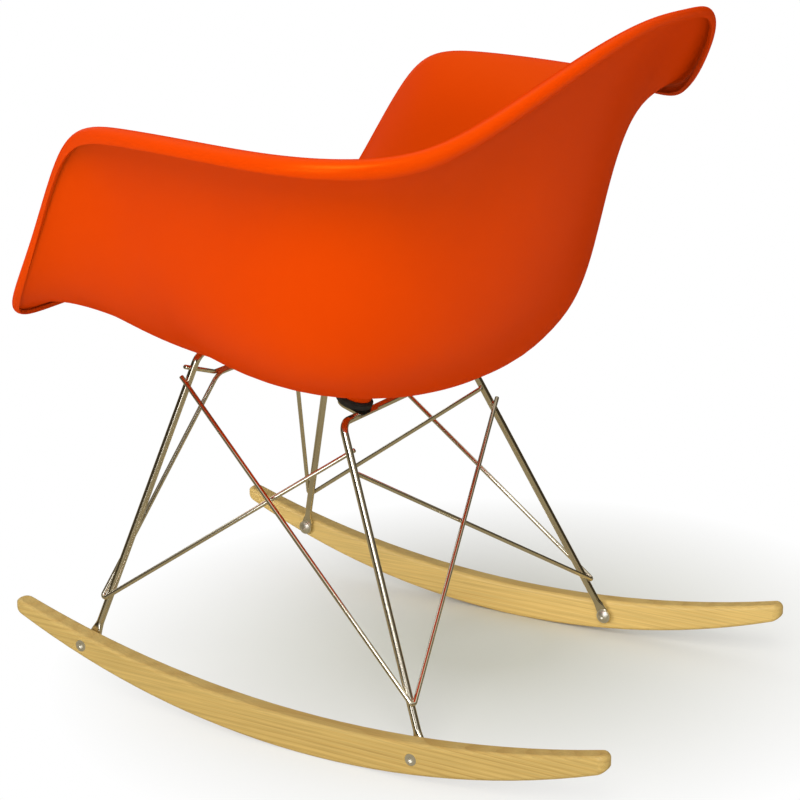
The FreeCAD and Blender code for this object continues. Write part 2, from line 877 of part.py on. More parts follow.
seat_shell()
for hoop_end in ENDS:
    hoop(hoop_end)
for hand, hand_sign in SIDES:
    rocker(hand, hand_sign)
    front_strut(hand, hand_sign)
    rear_strut(hand, hand_sign)
    for foot_end in ENDS:
        foot_hardware(foot_end, hand, hand_sign)
        mount_tab(foot_end, hand, hand_sign)
        shock_mount(foot_end, hand, hand_sign)
        mount_screw(foot_end, hand, hand_sign)
        insert(foot_end, hand, hand_sign)

doc.recompute()

faults = [item.Name for item in doc.Objects if "Invalid" in item.State or "Error" in item.State]
if faults:
    raise RuntimeError(f"not recomputed: {faults}")
for item in sub_parts:
    if item.Shape.isNull() or not item.Shape.isValid():
        raise RuntimeError(f"bad shape: {item.Label}")
    item.Shape.exportStep(f"parts/{item.Label}.step")
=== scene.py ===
import math

import bmesh
import bpy
from mathutils import Matrix, Vector
from mathutils.bvhtree import BVHTree


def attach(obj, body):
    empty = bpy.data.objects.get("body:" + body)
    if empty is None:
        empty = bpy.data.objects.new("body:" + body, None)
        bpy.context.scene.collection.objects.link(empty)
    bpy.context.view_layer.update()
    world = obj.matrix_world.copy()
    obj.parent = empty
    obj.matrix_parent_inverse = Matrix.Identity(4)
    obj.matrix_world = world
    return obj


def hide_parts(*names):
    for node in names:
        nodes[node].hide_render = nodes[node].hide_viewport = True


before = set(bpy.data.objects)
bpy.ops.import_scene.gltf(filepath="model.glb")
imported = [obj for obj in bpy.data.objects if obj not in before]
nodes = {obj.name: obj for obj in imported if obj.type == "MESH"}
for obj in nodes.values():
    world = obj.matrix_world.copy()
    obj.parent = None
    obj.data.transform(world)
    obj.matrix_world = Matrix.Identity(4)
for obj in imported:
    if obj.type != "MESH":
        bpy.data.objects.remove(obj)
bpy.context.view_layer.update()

MM = 0.001

# Sizes in millimetres, the same as the solids'

SHELL = {
    "wall": 4,
    "pan_low_y": 14,
    "pan_low_z": 324,
    "pan_half": 258,
    "pan_front": 206,
    "pan_rear": 175,
    "pan_front_rise": 40.5,
    "pan_side_rise": -5.5,
    "pan_rear_rise": 7.5,
    "belly_y": -33,
    "belly_half": 291,
    "belly_front": 177,
    "belly_rear": 179,
    "belly_front_z": 411,
    "belly_side_z": 357.5,
    "belly_rear_z": 388,
    "pan_square_front": 2.2,
    "pan_square_rear": 2.2,
    "belly_square_front": 2.6,
    "belly_square_rear": 2.0,
    "oval_ease": 1.5,
}
RIM = (
    (0, -270, 412),
    (113, -275, 407),
    (204, -280, 401),
    (262, -281, 397),
    (287, -256, 427),
    (291, -221, 486),
    (301, -187, 552),
    (310, -155, 597),
    (320, -97, 599),
    (325, -17, 595),
    (325, 55, 589),
    (304, 121, 585),
    (259, 176, 588),
    (193, 222, 628),
    (123, 262, 669),
    (61, 280, 687),
    (0, 286, 688),
)
# station, lean, flare, roll, lip
EDGE = (
    (0, 84, 21, 7, 4),
    (3, 134, 48, 7, 4),
    (5.5, 31, 81, 7, 13),
    (9, 47, 123, 17, 5.5),
    (12.5, 81, 98, 14.5, 8.5),
    (16, 76, 103, 7, 4),
)
RING_SHARES = (0.12, 0.26, 0.40, 0.54, 0.67, 0.79, 0.90, 1.0)
BASE = {
    "rod_d": 7.5,
    "wire_d": 4.5,
    "weld_sink": 0.25,
    "front_bar": (127, -160, 346),
    "rear_bar": (126, 1.5, 299),
    "front_bolt_y": -246.5,
    "rear_bolt_y": 128.5,
    "foot_x": 196.5,
    "rod_bend": 14,
    "foot_thick": 4,
    "foot_width": 13,
    "foot_neck": 20,
    "strut_low": 40,
    "strut_turn": 3,
    "side_front_end": 279,
    "side_rear_end": 285,
    "rear_face_end": 264,
    "front_face_end": 292,
    "strut_tail": 7,
    "inner_tail": 2,
    "under_weld_lead": 0.35,
    "front_face_x": 72,
    "front_face_z": 309,
    "front_face_bend": 14,
    "mount_half": 90,
    "mount_pitch": 19,
    "mount_reach": 12,
    "mount_top": 14,
    "boss_d": 30,
}
# tip_round and tip_thinning: over which length the ends get thinner, and by what share in the end
ROCKER = {
    "radius": 850,
    "low_y": 27,
    "top_radius": 1170,
    "top_low_y": 34,
    "depth": 34.5,
    "front_y": -330,
    "rear_y": 322,
    "tip_round": 9.6,
    "tip_thinning": 0.55,
}


# Building


def linked(name, mesh_builder):
    """A smooth-shaded object whose mesh the builder makes in a bmesh, in metres."""
    mesh = bpy.data.meshes.new(name)
    build = bmesh.new()
    mesh_builder(build)
    bmesh.ops.recalc_face_normals(build, faces=build.faces)
    build.to_mesh(mesh)
    build.free()
    made = bpy.data.objects.new(name, mesh)
    bpy.context.scene.collection.objects.link(made)
    for face in mesh.polygons:
        face.use_smooth = True
    return made


def ring_around(build, points):
    """A closed loop through the points, in millimetres. It is the start of a tube."""
    made = bmesh.ops.create_circle(build, segments=len(points), radius=1, cap_ends=True)
    loop = sorted(made["verts"], key=lambda vert: math.atan2(vert.co.y, vert.co.x) % math.tau)
    for vert, point in zip(loop, points):
        vert.co = point * MM
    return loop


def grow(build, loop, points):
    """The loop extruded once, with the new loop set on the points."""
    around = [build.edges.get((first, second)) for first, second in zip(loop, loop[1:] + loop[:1])]
    grown = bmesh.ops.extrude_edge_only(build, edges=around)["geom"]
    fresh = {item for item in grown if isinstance(item, bmesh.types.BMVert)}
    following = []
    for vert in loop:
        following.append(next(e.other_vert(vert) for e in vert.link_edges if e.other_vert(vert) in fresh))
    for vert, point in zip(following, points):
        vert.co = point * MM
    return following


def tube(build, rings):
    """A closed tube through the rings, capped at both ends."""
    loop = ring_around(build, rings[0])
    for ring in rings[1:]:
        loop = grow(build, loop, ring)
    last = [build.edges.get((first, second)) for first, second in zip(loop, loop[1:] + loop[:1])]
    bmesh.ops.edgeloop_fill(build, edges=last)


# Shell: the same net of points as the solid's, and the same smooth surface through it


def eased(share):
    """A share from 0 to 1 that starts and stops softly."""
    return share * share * (3 - 2 * share)


def blended(station, column):
    """An edge quantity at a rim station, eased between the listed places."""
    for first, last in zip(EDGE, EDGE[1:]):
        if station <= last[0]:
            share = (station - first[0]) / (last[0] - first[0])
            return first[column] + (last[column] - first[column]) * eased(share)
    return EDGE[-1][column]


def rim_point(station):
    last = len(RIM) - 1
    wrapped = station % (2 * last)
    x, y, z = RIM[min(wrapped, 2 * last - wrapped)]
    return Vector((x if wrapped <= last else -x, y, z))


def oval_point(kind, rim):
    """The point of the pan's or the belly's rounded oval in the rim point's direction."""
    if kind == "pan":
        centre_y = SHELL["pan_low_y"]
        heights = [SHELL["pan_low_z"] + SHELL[f"pan_{place}_rise"] for place in ("front", "side", "rear")]
    else:
        centre_y = SHELL["belly_y"]
        heights = [SHELL[f"belly_{place}_z"] for place in ("front", "side", "rear")]
    front_z, side_z, rear_z = heights
    angle = math.atan2(rim.y - centre_y, rim.x)
    part = "front" if math.sin(angle) < 0 else "rear"
    power = SHELL[f"{kind}_square_{part}"]
    wide_part = (abs(math.cos(angle)) / SHELL[f"{kind}_half"]) ** power
    deep_part = (abs(math.sin(angle)) / SHELL[f"{kind}_{part}"]) ** power
    radius = (wide_part + deep_part) ** (-1 / power)
    end_z = front_z if part == "front" else rear_z
    height = side_z + (end_z - side_z) * abs(math.sin(angle)) ** SHELL["oval_ease"]
    return Vector((radius * math.cos(angle), centre_y + radius * math.sin(angle), height))


def pan_tilt():
    fall = SHELL["pan_front_rise"] - SHELL["pan_rear_rise"]
    return fall / (SHELL["pan_front"] + SHELL["pan_rear"])


def wall_points(station):
    """One station of the net: from the pan's low point up the wall and over the rolled edge."""
    rim = rim_point(station)
    run = rim_point(station + 1) - rim_point(station - 1)
    outward = Vector((run.y, -run.x, 0)).normalized()
    lean = math.radians(blended(station, 1))
    up_wall = outward * math.sin(lean) + Vector((0, 0, math.cos(lean)))
    off_wall = outward * math.cos(lean) - Vector((0, 0, math.sin(lean)))
    flare, roll, lip = [blended(station, column) for column in (2, 3, 4)]
    top = rim - up_wall * roll
    low = Vector((0, SHELL["pan_low_y"], SHELL["pan_low_z"]))
    guides = (low, oval_point("pan", rim), oval_point("belly", rim), top - up_wall * flare, top)
    points = [low]
    for share in RING_SHARES:
        weights = [math.comb(4, i) * share**i * (1 - share) ** (4 - i) for i in range(5)]
        points.append(sum((guide * weight for weight, guide in zip(weights, guides)), Vector((0, 0, 0))))
    points[1].z = low.z - pan_tilt() * (points[1].y - low.y)
    rolled = rim + off_wall * roll
    return points + [rim, rolled, rolled + off_wall * (lip / 2) - up_wall * lip]


def shell_net():
    half = [wall_points(station) for station in range(len(RIM))]
    other = [[Vector((-point.x, point.y, point.z)) for point in column] for column in half[-2:0:-1]]
    return [list(points) for points in zip(*(half + other))]


def offset_net(net, distance):
    """The net moved outwards and downwards, square to itself."""
    stations = len(net[0])
    moved = [[net[0][0] - Vector((0, pan_tilt(), 1)).normalized() * distance] * stations]
    for row in range(1, len(net)):
        above = net[min(row + 1, len(net) - 1)]
        points = []
        for column in range(stations):
            along = net[row][(column + 1) % stations] - net[row][column - 1]
            outward = along.cross(above[column] - net[row - 1][column]).normalized()
            points.append(net[row][column] + outward * distance)
        moved.append(points)
    return moved


def cubic_weights(knots, span, value):
    """The four weights of a cubic spline in one span of its knots."""
    weights = [1.0]
    for degree in (1, 2, 3):
        raised = [0.0] * (degree + 1)
        for place, weight in enumerate(weights):
            left = knots[span + 1 + place - degree]
            right = knots[span + 1 + place]
            share = (value - left) / (right - left)
            raised[place] += weight * (1 - share)
            raised[place + 1] += weight * share
        weights = raised
    return weights


# Steps from one station to the next, steps in each span up the wall, and the first ring's place
PER_STATION = 8
SPAN_STEPS = (8, 6, 5, 5, 6, 7, 8, 10, 10)
POLE_START = 0.03


def surface_rings(net):
    """Rings of points on the net's smooth surface: clamped across the wall, closed round the shell."""
    spans = len(net) - 3
    knots = [0] * 3 + list(range(spans + 1)) + [spans] * 3
    stations = len(net[0])
    round_weights = [cubic_weights(range(-3, 5), 3, step / PER_STATION) for step in range(PER_STATION)]
    values = [POLE_START]
    for span, steps in enumerate(SPAN_STEPS):
        values += [span + (step + 1) / steps for step in range(steps)]
    rings = []
    for value in values:
        span = min(int(value), spans - 1)
        weights = cubic_weights(knots, span + 3, value)
        mixed = []
        for column in range(stations):
            rows = zip(weights, net[span : span + 4])
            mixed.append(sum((row[column] * weight for weight, row in rows), Vector((0, 0, 0))))
        ring = []
        for column in range(stations):
            near = [mixed[(column + shift) % stations] for shift in (-1, 0, 1, 2)]
            for weights_here in round_weights:
                ring.append(sum((p * w for p, w in zip(near, weights_here)), Vector((0, 0, 0))))
        rings.append(ring)
    return rings


net = shell_net()
inner_rings = surface_rings(net)
outer_rings = surface_rings(offset_net(net, SHELL["wall"]))


def shell_wall(build):
    tube(build, inner_rings + outer_rings[::-1])


LIP_ANGLE = math.radians(50)
LIP_WIDTH = 1.1
LIP_SEGMENTS = 3

shell = linked("seat_shell_smooth", shell_wall)
lip = shell.modifiers.new("lip", "BEVEL")
lip.limit_method = "ANGLE"
lip.angle_limit = LIP_ANGLE
lip.width = LIP_WIDTH * MM
lip.segments = LIP_SEGMENTS


# Bosses under the seat, up to the shell's underside


def mount_frame(end, side):
    """A matrix from one mount's own frame, with its origin on the boss's lower face, to the chair's."""
    tilt = Matrix.Rotation(math.radians(-BASE["mount_pitch"]), 4, "X")
    reach = BASE["mount_reach"] if end == "front" else -BASE["mount_reach"]
    _, y, z = BASE[f"{end}_bar"]
    bar = Matrix.Translation((side * BASE["mount_half"], y, z))
    return bar @ tilt @ Matrix.Translation((0, reach, BASE["mount_top"]))


BOSS_STEPS = 64
BOSS_CHAMFER = 0.5
# Rings where a boss meets the shell: how much wider than the boss, and how far past the underside
BOSS_FLARE = ((0, -2.5), (0.6, -1), (2, 0.4))

underside = bmesh.new()
tube(underside, outer_rings)
underside_tree = BVHTree.FromBMesh(underside)


def bosses(build):
    turns = [math.tau * step / BOSS_STEPS for step in range(BOSS_STEPS)]
    radius = BASE["boss_d"] / 2
    for end in ("front", "rear"):
        for side in (1, -1):
            place = mount_frame(end, side)
            up = (place.to_3x3() @ Vector((0, 0, 1))).normalized()
            rings = [[], [], [], [], []]
            for turn in turns:
                flat = Vector((math.cos(turn), math.sin(turn), 0))
                start = place @ (flat * (radius + BOSS_FLARE[-1][0]))
                reach = underside_tree.ray_cast(start * MM, up)[3] / MM
                shapes = [(-BOSS_CHAMFER, 0), (0, BOSS_CHAMFER)]
                shapes += [(wider, reach + past) for wider, past in BOSS_FLARE]
                for ring, (grow_by, height) in zip(rings, shapes):
                    ring.append(place @ (flat * (radius + grow_by) + Vector((0, 0, height))))
            tube(build, rings)


boss_piece = linked("seat_shell_bosses", bosses)
underside.free()


# Rockers: the solids' boards, with their ends rounded in height too


def board_middle(y):
    """The height halfway between a rocker's lower and upper edge."""
    lower = ROCKER["radius"] - math.sqrt(ROCKER["radius"] ** 2 - (y - ROCKER["low_y"]) ** 2)
    drop = math.sqrt(ROCKER["top_radius"] ** 2 - (y - ROCKER["top_low_y"]) ** 2)
    return (lower + ROCKER["depth"] + ROCKER["top_radius"] - drop) / 2


def rounded_board(hand):
    board = nodes[f"rocker_{hand}"].data

    def build_board(build):
        build.from_mesh(board)
        for vert in build.verts:
            y = vert.co.y / MM
            inside = min(y - ROCKER["front_y"], ROCKER["rear_y"] - y)
            if inside < ROCKER["tip_round"]:
                late = 1 - max(inside, 0) / ROCKER["tip_round"]
                share = 1 - ROCKER["tip_thinning"] * (1 - math.sqrt(1 - late**2))
                middle = board_middle(y) * MM
                vert.co.z = middle + (vert.co.z - middle) * share

    return linked(f"rocker_{hand}_smooth", build_board)


boards = {hand: rounded_board(hand) for hand in ("left", "right")}

# Wires


def leg_line(end, side):
    """Foot centre and top corner of one leg, on the rod's axis."""
    y = BASE[f"{end}_bolt_y"]
    foot = Vector((side * BASE["foot_x"], y, board_middle(y)))
    top_x, top_y, top_z = BASE[f"{end}_bar"]
    return foot, Vector((side * top_x, top_y, top_z))


def leg_point(end, side, up):
    foot, top = leg_line(end, side)
    return foot + (top - foot).normalized() * up


def beside(end, side, up, way):
    """A wire's centre where it lies against a leg, on the side that way points to."""
    foot, top = leg_line(end, side)
    along = (top - foot).normalized()
    square = way - along * way.dot(along)
    reach = (BASE["rod_d"] + BASE["wire_d"]) / 2 - BASE["weld_sink"]
    return foot + along * up + square.normalized() * reach


def beyond(start, end, tail="strut_tail"):
    return end + (end - start).normalized() * BASE[tail]


def strut_turn_point(end, side):
    low = BASE["strut_low"]
    ahead = Vector((0, -1 if end == "front" else 1, 0))
    lifted = beside(end, side, low, Vector((side, 0, 0))) + beside(end, side, low, ahead)
    return lifted - leg_point(end, side, low)


def front_face_corner(side, layer):
    foot, top = leg_line("front", side)
    share = (BASE["front_face_z"] - foot.z) / (top.z - foot.z)
    rise = Vector((0, top.y - foot.y, top.z - foot.z))
    normal = Vector((0, -rise.z, rise.y)).normalized()
    reach = (BASE["rod_d"] + BASE["wire_d"]) / 2 - BASE["weld_sink"]
    reach += layer * (BASE["wire_d"] - BASE["weld_sink"])
    corner = Vector((side * BASE["front_face_x"], foot.y + rise.y * share, BASE["front_face_z"]))
    return corner + normal * reach


ARC_STEP = math.radians(5)
LEAST_ARC_STEPS = 4
SEGMENTS = 40
OVAL_POWER = 2.0


def bent_line(points, radii):
    """Centres along straight runs that are joined by tangent arcs, with the direction at each."""
    centres = [(points[0], (points[1] - points[0]).normalized())]
    for before, corner, after, radius in zip(points, points[1:], points[2:], radii):
        inward = (before - corner).normalized()
        onward = (after - corner).normalized()
        half = inward.angle(onward) / 2
        trim = radius / math.tan(half)
        hub = corner + (inward + onward).normalized() * (radius / math.sin(half))
        first = corner + inward * trim - hub
        axis = (-inward).cross(onward).normalized()
        sweep = math.pi - 2 * half
        count = max(LEAST_ARC_STEPS, round(sweep / ARC_STEP))
        for step in range(count + 1):
            turn = Matrix.Rotation(sweep * step / count, 3, axis)
            centres.append((hub + turn @ first, turn @ -inward))
    centres.append((points[-1], (points[-1] - points[-2]).normalized()))
    return centres


def section(centre, wide, thick, half_wide, half_thick, power=OVAL_POWER):
    """A ring round a centre: an oval, or with a higher power a rounded rectangle."""
    ring = []
    for step in range(SEGMENTS):
        turn = math.tau * step / SEGMENTS
        cos, sin = math.cos(turn), math.sin(turn)
        across = math.copysign(abs(cos) ** (2 / power), cos) * half_wide
        over = math.copysign(abs(sin) ** (2 / power), sin) * half_thick
        ring.append(centre + wide * across + thick * over)
    return ring


def carried(axes, direction, new_direction):
    """A ring's two axes, carried round a bend."""
    turn = direction.rotation_difference(new_direction)
    return [(turn @ axis).normalized() for axis in axes]


def rod_rings(centres, start_axes, radius, end_axis=None):
    """Round rings along the centres. With an end axis, the rings twist evenly to meet it."""
    frames = [start_axes]
    for (_, before), (_, after) in zip(centres, centres[1:]):
        frames.append(carried(frames[-1], before, after))
    twist = 0
    if end_axis:
        wide, thick = frames[-1]
        twist = math.atan2(end_axis.dot(thick), end_axis.dot(wide))
    rings = []
    for place, ((centre, _), (wide, thick)) in enumerate(zip(centres, frames)):
        angle = twist * place / (len(centres) - 1)
        turned = wide * math.cos(angle) + thick * math.sin(angle)
        other = thick * math.cos(angle) - wide * math.sin(angle)
        rings.append(section(centre, turned, other, radius, radius))
    return rings


# Each ring at a wire's rounded end: its share of the wire's radius, and how far ahead it lies
WIRE_END = ((0.92, 0.25), (0.72, 0.45), (0.4, 0.55))


def wire(name, points, radii):
    """A thin round wire with rounded ends."""
    radius = BASE["wire_d"] / 2
    centres = bent_line(points, radii)
    direction = centres[0][1]
    wide = direction.orthogonal().normalized()
    axes = [wide, direction.cross(wide)]
    rings = rod_rings(centres, axes, radius)

    def rounded(ring, centre, way):
        return [[centre + (p - centre) * share + way * ahead for p in ring] for share, ahead in WIRE_END]

    start_rings = rounded(rings[0], centres[0][0], -centres[0][1])
    end_rings = rounded(rings[-1], centres[-1][0], centres[-1][1])
    return linked(name, lambda build: tube(build, start_rings[::-1] + rings + end_rings))


EYE_STEPS = 12
EYE_POWER = 5
NECK_STEPS = 16
ROUND_FROM = 0.2


def foot_rings(end, side):
    """A leg's pressed end, from the tip of its eye up to where it is round."""
    foot, top = leg_line(end, side)
    along = (top - foot).normalized()
    in_plane = Vector((0, along.y, along.z)).normalized()
    outward = Vector((side, 0, 0))
    wide_eye = in_plane.cross(Vector((1, 0, 0)))
    wide_rod = (wide_eye - along * wide_eye.dot(along)).normalized()
    thick_rod = along.cross(wide_rod) if side > 0 else wide_rod.cross(along)
    thick_rod *= math.copysign(1, thick_rod.dot(outward))
    half_wide = BASE["foot_width"] / 2
    half_thick = BASE["foot_thick"] / 2
    radius = BASE["rod_d"] / 2
    rings = []
    for step in range(1, EYE_STEPS + 1):
        up = -half_wide * math.cos(math.pi / 2 * step / EYE_STEPS)
        width = math.sqrt(half_wide**2 - up**2)
        rings.append(section(foot + in_plane * up, wide_eye, outward, width, half_thick, EYE_POWER))
    for step in range(1, NECK_STEPS + 1):
        share = step / NECK_STEPS
        up = BASE["foot_neck"] * share
        soft = eased(share)
        late = eased(max(0, share - ROUND_FROM) / (1 - ROUND_FROM))
        centre = (foot + in_plane * up).lerp(foot + along * up, soft)
        wide = wide_eye.lerp(wide_rod, soft).normalized()
        thick = outward.lerp(thick_rod, soft).normalized()
        width = half_wide + (radius - half_wide) * late
        depth = half_thick + (radius - half_thick) * late
        power = EYE_POWER + (OVAL_POWER - EYE_POWER) * late
        rings.append(section(centre, wide, thick, width, depth, power))
    return rings, wide_rod, thick_rod


def hoop(end):
    """The thick wire: foot, leg, bar, leg and foot in one."""
    left_foot, wide, thick = foot_rings(end, 1)
    right_foot, right_wide, _ = foot_rings(end, -1)
    neck = BASE["foot_neck"]
    points = [leg_point(end, 1, neck), leg_line(end, 1)[1], leg_line(end, -1)[1], leg_point(end, -1, neck)]
    rod = rod_rings(bent_line(points, [BASE["rod_bend"]] * 2), [wide, thick], BASE["rod_d"] / 2, right_wide)
    return linked(f"{end}_hoop_smooth", lambda build: tube(build, left_foot + rod[1:-1] + right_foot[::-1]))


hoops = {end: hoop(end) for end in ("front", "rear")}
struts = {}
for hand, side in (("left", 1), ("right", -1)):
    turn_at = strut_turn_point("front", side)
    high = beside("rear", side, BASE["side_rear_end"], Vector((-side, 0, 0)))
    layer = 0 if side > 0 else 1
    near_bend = front_face_corner(side, layer)
    far_bend = front_face_corner(-side, layer)
    last_weld = beside("front", -side, BASE["front_face_end"], Vector((0, -1, 0)))
    path = [beyond(turn_at, high, "inner_tail"), turn_at, near_bend, far_bend, beyond(far_bend, last_weld)]
    bends = [BASE["strut_turn"], BASE["front_face_bend"], BASE["front_face_bend"]]
    struts[f"strut_front_{hand}"] = wire(f"strut_front_{hand}_smooth", path, bends)
    turn_at = strut_turn_point("rear", side)
    high = beside("front", side, BASE["side_front_end"], Vector((side, 0, 0)))
    behind = Vector((0, 1, 0)) if side > 0 else Vector((side, -BASE["under_weld_lead"], 0))
    last_weld = beside("rear", -side, BASE["rear_face_end"], behind)
    path = [beyond(turn_at, high), turn_at, beyond(turn_at, last_weld)]
    struts[f"strut_rear_{hand}"] = wire(f"strut_rear_{hand}_smooth", path, [BASE["strut_turn"]])


# Materials


def put(tree, kind, values=None, **settings):
    """A shader node with its socket values and its settings."""
    made = tree.nodes.new(kind)
    for setting, value in settings.items():
        setattr(made, setting, value)
    for socket, value in (values or {}).items():
        made.inputs[socket].default_value = value
    return made


def group(name, inputs, outputs):
    """An empty node group with typed sockets, and its two end nodes."""
    tree = bpy.data.node_groups.new(name, "ShaderNodeTree")
    for socket, (kind, default) in inputs.items():
        made = tree.interface.new_socket(socket, in_out="INPUT", socket_type=kind)
        if default is not None:
            made.default_value = default
    for socket, kind in outputs.items():
        tree.interface.new_socket(socket, in_out="OUTPUT", socket_type=kind)
    return tree, put(tree, "NodeGroupInput"), put(tree, "NodeGroupOutput")


def rgba(red, green, blue):
    """A screen colour from 0 to 255 as the linear colour a shader takes."""

    def linear(value):
        value /= 255
        return value / 12.92 if value <= 0.04045 else ((value + 0.055) / 1.055) ** 2.4

    return (linear(red), linear(green), linear(blue), 1)


def grain_group():
    """Fine bumps of a given grain size and height, and the same noise as a value."""
    inputs = {
        "Vector": ("NodeSocketVector", None),
        "Grains per metre": ("NodeSocketFloat", 1200.0),
        "Height": ("NodeSocketFloat", 0.00005),
        "Strength": ("NodeSocketFloat", 0.3),
    }
    tree, start, end = group("fine_grain", inputs, {"Normal": "NodeSocketVector", "Value": "NodeSocketFloat"})
    fine = put(tree, "ShaderNodeTexNoise", {"Detail": 4.0, "Roughness": 0.6})
    bump = put(tree, "ShaderNodeBump")
    tree.links.new(start.outputs["Vector"], fine.inputs["Vector"])
    tree.links.new(start.outputs["Grains per metre"], fine.inputs["Scale"])
    tree.links.new(fine.outputs["Fac"], bump.inputs["Height"])
    tree.links.new(start.outputs["Height"], bump.inputs["Distance"])
    tree.links.new(start.outputs["Strength"], bump.inputs["Strength"])
    tree.links.new(bump.outputs["Normal"], end.inputs["Normal"])
    tree.links.new(fine.outputs["Fac"], end.inputs["Value"])
    return tree


def cloud_group():
    """Slow changes between two colours and between two roughnesses."""
    inputs = {
        "Vector": ("NodeSocketVector", None),
        "Patches per metre": ("NodeSocketFloat", 6.0),
        "First colour": ("NodeSocketColor", (0.5, 0.5, 0.5, 1)),
        "Second colour": ("NodeSocketColor", (0.5, 0.5, 0.5, 1)),
        "Least roughness": ("NodeSocketFloat", 0.3),
        "Most roughness": ("NodeSocketFloat", 0.4),
    }
    tree, start, end = group("clouds", inputs, {"Color": "NodeSocketColor", "Roughness": "NodeSocketFloat"})
    slow = put(tree, "ShaderNodeTexNoise", {"Detail": 3.0, "Roughness": 0.55, "Distortion": 0.4})
    spread = put(tree, "ShaderNodeMapRange", {"From Min": 0.3, "From Max": 0.7})
    colour = put(tree, "ShaderNodeMix", data_type="RGBA")
    rough = put(tree, "ShaderNodeMapRange")
    tree.links.new(start.outputs["Vector"], slow.inputs["Vector"])
    tree.links.new(start.outputs["Patches per metre"], slow.inputs["Scale"])
    tree.links.new(slow.outputs["Fac"], spread.inputs["Value"])
    tree.links.new(spread.outputs["Result"], colour.inputs["Factor"])
    tree.links.new(start.outputs["First colour"], colour.inputs["A"])
    tree.links.new(start.outputs["Second colour"], colour.inputs["B"])
    tree.links.new(spread.outputs["Result"], rough.inputs["Value"])
    tree.links.new(start.outputs["Least roughness"], rough.inputs["To Min"])
    tree.links.new(start.outputs["Most roughness"], rough.inputs["To Max"])
    tree.links.new(colour.outputs["Result"], end.inputs["Color"])
    tree.links.new(rough.outputs["Result"], end.inputs["Roughness"])
    return tree


fine_grain = grain_group()
clouds = cloud_group()


def material(name, surface, cloud, grain):
    """A Principled surface whose colour and roughness come from clouds, with fine grain as bumps."""
    made = bpy.data.materials.new(name)
    made.use_nodes = True
    tree = made.node_tree
    shader = tree.nodes["Principled BSDF"]
    for socket, value in surface.items():
        shader.inputs[socket].default_value = value
    where = put(tree, "ShaderNodeTexCoord")
    tone = put(tree, "ShaderNodeGroup", node_tree=clouds)
    bumps = put(tree, "ShaderNodeGroup", node_tree=fine_grain)
    for chosen, values in ((tone, cloud), (bumps, grain)):
        tree.links.new(where.outputs["Object"], chosen.inputs["Vector"])
        for socket, value in values.items():
            chosen.inputs[socket].default_value = value
    tree.links.new(tone.outputs["Color"], shader.inputs["Base Color"])
    tree.links.new(tone.outputs["Roughness"], shader.inputs["Roughness"])
    tree.links.new(bumps.outputs["Normal"], shader.inputs["Normal"])
    return made


RANGE_ENDS = ("From Min", "From Max", "To Min", "To Max")


def moulded_finish(made, bounce):
    """Two changes to plain gloss. The surface goes matt where it turns away from the eye, as a finely
    textured moulding does. What it throws on the floor by diffuse light is paler than itself."""
    tree = made.node_tree
    shiny = tree.nodes["Principled BSDF"]
    turned = put(tree, "ShaderNodeLayerWeight", {"Blend": 0.5})
    ends = dict(zip(RANGE_ENDS, (0.15, 0.8, 0.0, 0.92)))
    share = put(tree, "ShaderNodeMapRange", ends, interpolation_type="SMOOTHSTEP")
    matt = put(tree, "ShaderNodeBsdfDiffuse")
    for name, target in (("Base Color", "Color"), ("Normal", "Normal")):
        tree.links.new(shiny.inputs[name].links[0].from_socket, matt.inputs[target])
    both = put(tree, "ShaderNodeMixShader")
    path = put(tree, "ShaderNodeLightPath")
    plain = put(tree, "ShaderNodeBsdfDiffuse", {"Color": bounce})
    last = put(tree, "ShaderNodeMixShader")
    tree.links.new(turned.outputs["Facing"], share.inputs["Value"])
    tree.links.new(share.outputs["Result"], both.inputs["Fac"])
    tree.links.new(shiny.outputs["BSDF"], both.inputs[1])
    tree.links.new(matt.outputs["BSDF"], both.inputs[2])
    tree.links.new(path.outputs["Is Diffuse Ray"], last.inputs["Fac"])
    tree.links.new(both.outputs["Shader"], last.inputs[1])
    tree.links.new(plain.outputs["BSDF"], last.inputs[2])
    tree.links.new(last.outputs["Shader"], tree.nodes["Material Output"].inputs["Surface"])


plastic = material(
    "moulded_plastic",
    {"Specular IOR Level": 0.2, "Specular Tint": (1.0, 0.95, 0.05, 1)},
    {
        "Patches per metre": 5.0,
        "First colour": (0.80, 0.054, 0.0003, 1),
        "Second colour": (0.76, 0.048, 0.0002, 1),
        "Least roughness": 0.285,
        "Most roughness": 0.34,
    },
    {"Grains per metre": 1500.0, "Height": 0.00004, "Strength": 0.25},
)
moulded_finish(plastic, (0.36, 0.33, 0.27, 1))
chrome = material(
    "chrome",
    {"Metallic": 1.0},
    {
        "Patches per metre": 30.0,
        "First colour": (0.76, 0.72, 0.63, 1),
        "Second colour": (0.66, 0.61, 0.51, 1),
        "Least roughness": 0.11,
        "Most roughness": 0.19,
    },
    {"Grains per metre": 40.0, "Height": 0.00002, "Strength": 0.05},
)
steel = material(
    "zinc_steel",
    {"Metallic": 1.0},
    {
        "Patches per metre": 250.0,
        "First colour": (0.86, 0.84, 0.78, 1),
        "Second colour": (0.72, 0.70, 0.64, 1),
        "Least roughness": 0.38,
        "Most roughness": 0.52,
    },
    {"Grains per metre": 2500.0, "Height": 0.00003, "Strength": 0.2},
)
brass = material(
    "brass",
    {"Metallic": 1.0},
    {
        "Patches per metre": 200.0,
        "First colour": (0.72, 0.52, 0.22, 1),
        "Second colour": (0.60, 0.42, 0.17, 1),
        "Least roughness": 0.25,
        "Most roughness": 0.4,
    },
    {"Grains per metre": 2500.0, "Height": 0.00003, "Strength": 0.2},
)
